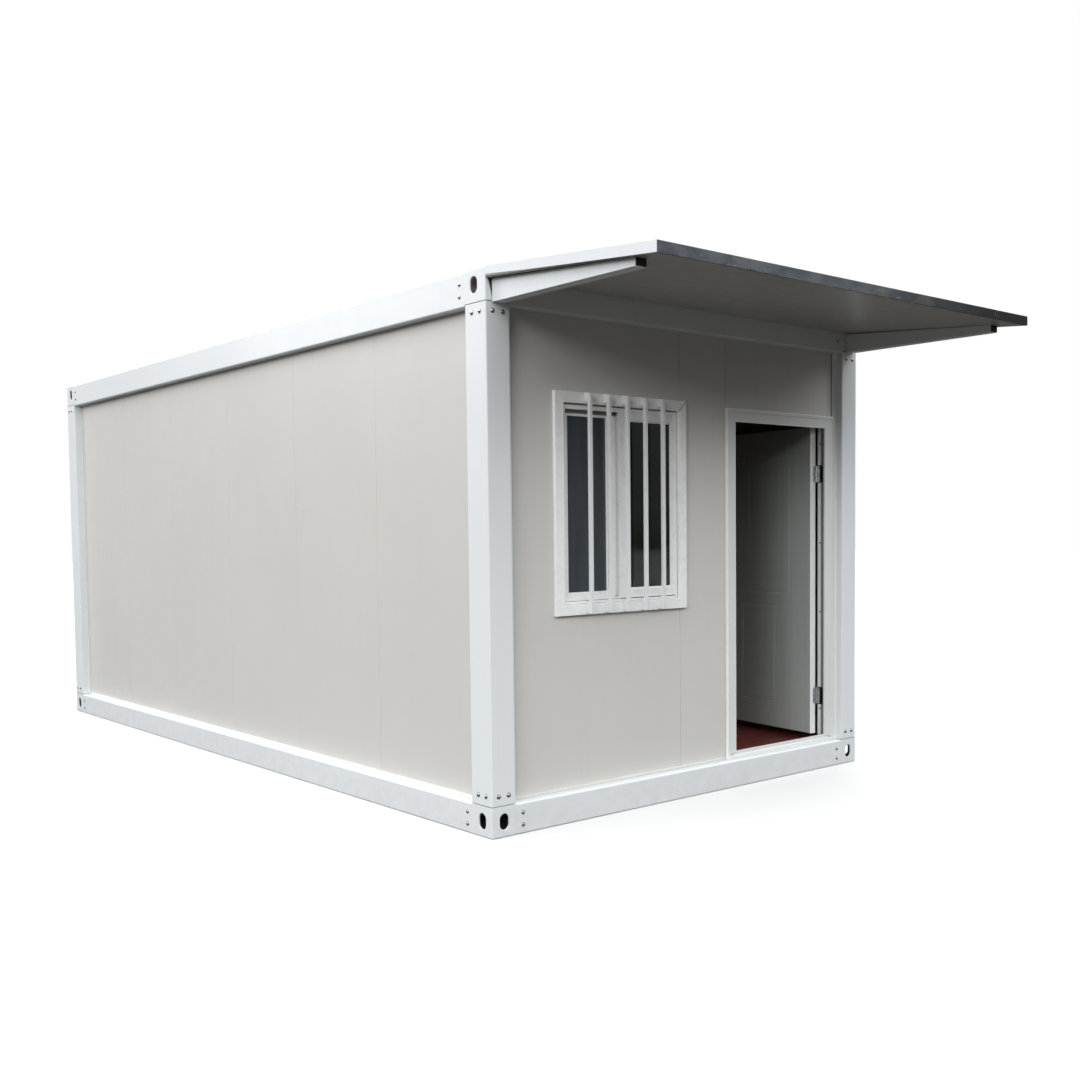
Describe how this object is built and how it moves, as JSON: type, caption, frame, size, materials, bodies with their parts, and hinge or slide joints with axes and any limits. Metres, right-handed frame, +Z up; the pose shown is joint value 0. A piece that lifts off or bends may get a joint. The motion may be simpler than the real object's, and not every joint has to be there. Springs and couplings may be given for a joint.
{
  "type": "container house",
  "caption": "Flat-pack container house with a bolted white steel frame, recessed sandwich-panel walls, a barred sliding window, an inward-opening steel door and a sloping front canopy.",
  "frame": {"origin": "bottom centre of the whole bounding box, canopy included, on the ground", "axes": "+X to the right when facing the front, +Y from the front with the canopy, window and door toward the back, +Z up"},
  "size_m": [3, 7.165, 2.82],
  "materials": {
    "frame_steel": "bluish white paint, satin, on cold-formed steel",
    "wall_panel": "warm light grey coated steel skin, satin, faint vertical ribs",
    "roof_steel": "coated steel roof sheet, satin",
    "door_steel": "light grey paint, satin, pressed sheet",
    "window_pvc": "white extruded window profile, soft gloss",
    "window_glass": "clear pane, greenish and dark against the unlit room",
    "bar_steel": "white painted square steel bar",
    "fascia_blue": "dark slate blue paint, satin",
    "floor_board": "dark red sheet floor, matt",
    "galvanised_steel": "zinc-coated steel, dull",
    "handle_metal": "brushed steel lever and plate"
  },
  "bodies": {
    "house": {"front_bottom_corners": "frame_steel", "back_bottom_corners": "frame_steel", "front_top_corners": "frame_steel", "back_top_corners": "frame_steel", "front_posts": "frame_steel", "back_posts": "frame_steel", "bottom_side_beams": "frame_steel", "bottom_end_beams": "frame_steel", "top_side_beams": "frame_steel", "top_end_beams": "frame_steel", "canopy_side_trims": "frame_steel", "canopy_brackets": "frame_steel", "canopy_panel": "frame_steel", "front_corner_trims": "frame_steel", "floor_joists": "galvanised_steel", "roof_purlins": "galvanised_steel", "door_frame_hinges": "galvanised_steel", "floor_board": "floor_board", "ceiling_board": "wall_panel", "left_wall": "wall_panel", "right_wall": "wall_panel", "back_wall": "wall_panel", "front_wall_left": "wall_panel", "front_wall_under_window": "wall_panel", "front_wall_over_window": "wall_panel", "front_wall_middle": "wall_panel", "front_wall_over_door": "wall_panel", "front_wall_right": "wall_panel", "roof_sheet": "roof_steel", "window_casing_sides": "window_pvc", "window_casing_rails": "window_pvc", "window_frame_sides": "window_pvc", "window_frame_rails": "window_pvc", "window_sash_stiles": "window_pvc", "window_sash_rails": "window_pvc", "window_panes": "window_glass", "window_bars": "bar_steel", "door_jambs": "door_steel", "door_head": "door_steel", "door_threshold": "door_steel", "canopy_front_fascia": "fascia_blue"},
    "door": {"door_leaf": "door_steel", "door_hinge_leaves": "galvanised_steel", "door_handles": "handle_metal"}
  },
  "joints": [
    {"name": "door_hinge", "type": "hinge", "parent": "house", "child": "door", "pos_m": [1.2365, -2.306, 0], "axis": [0, 0, 1], "range_deg": [0, 98.3]}
  ]
}
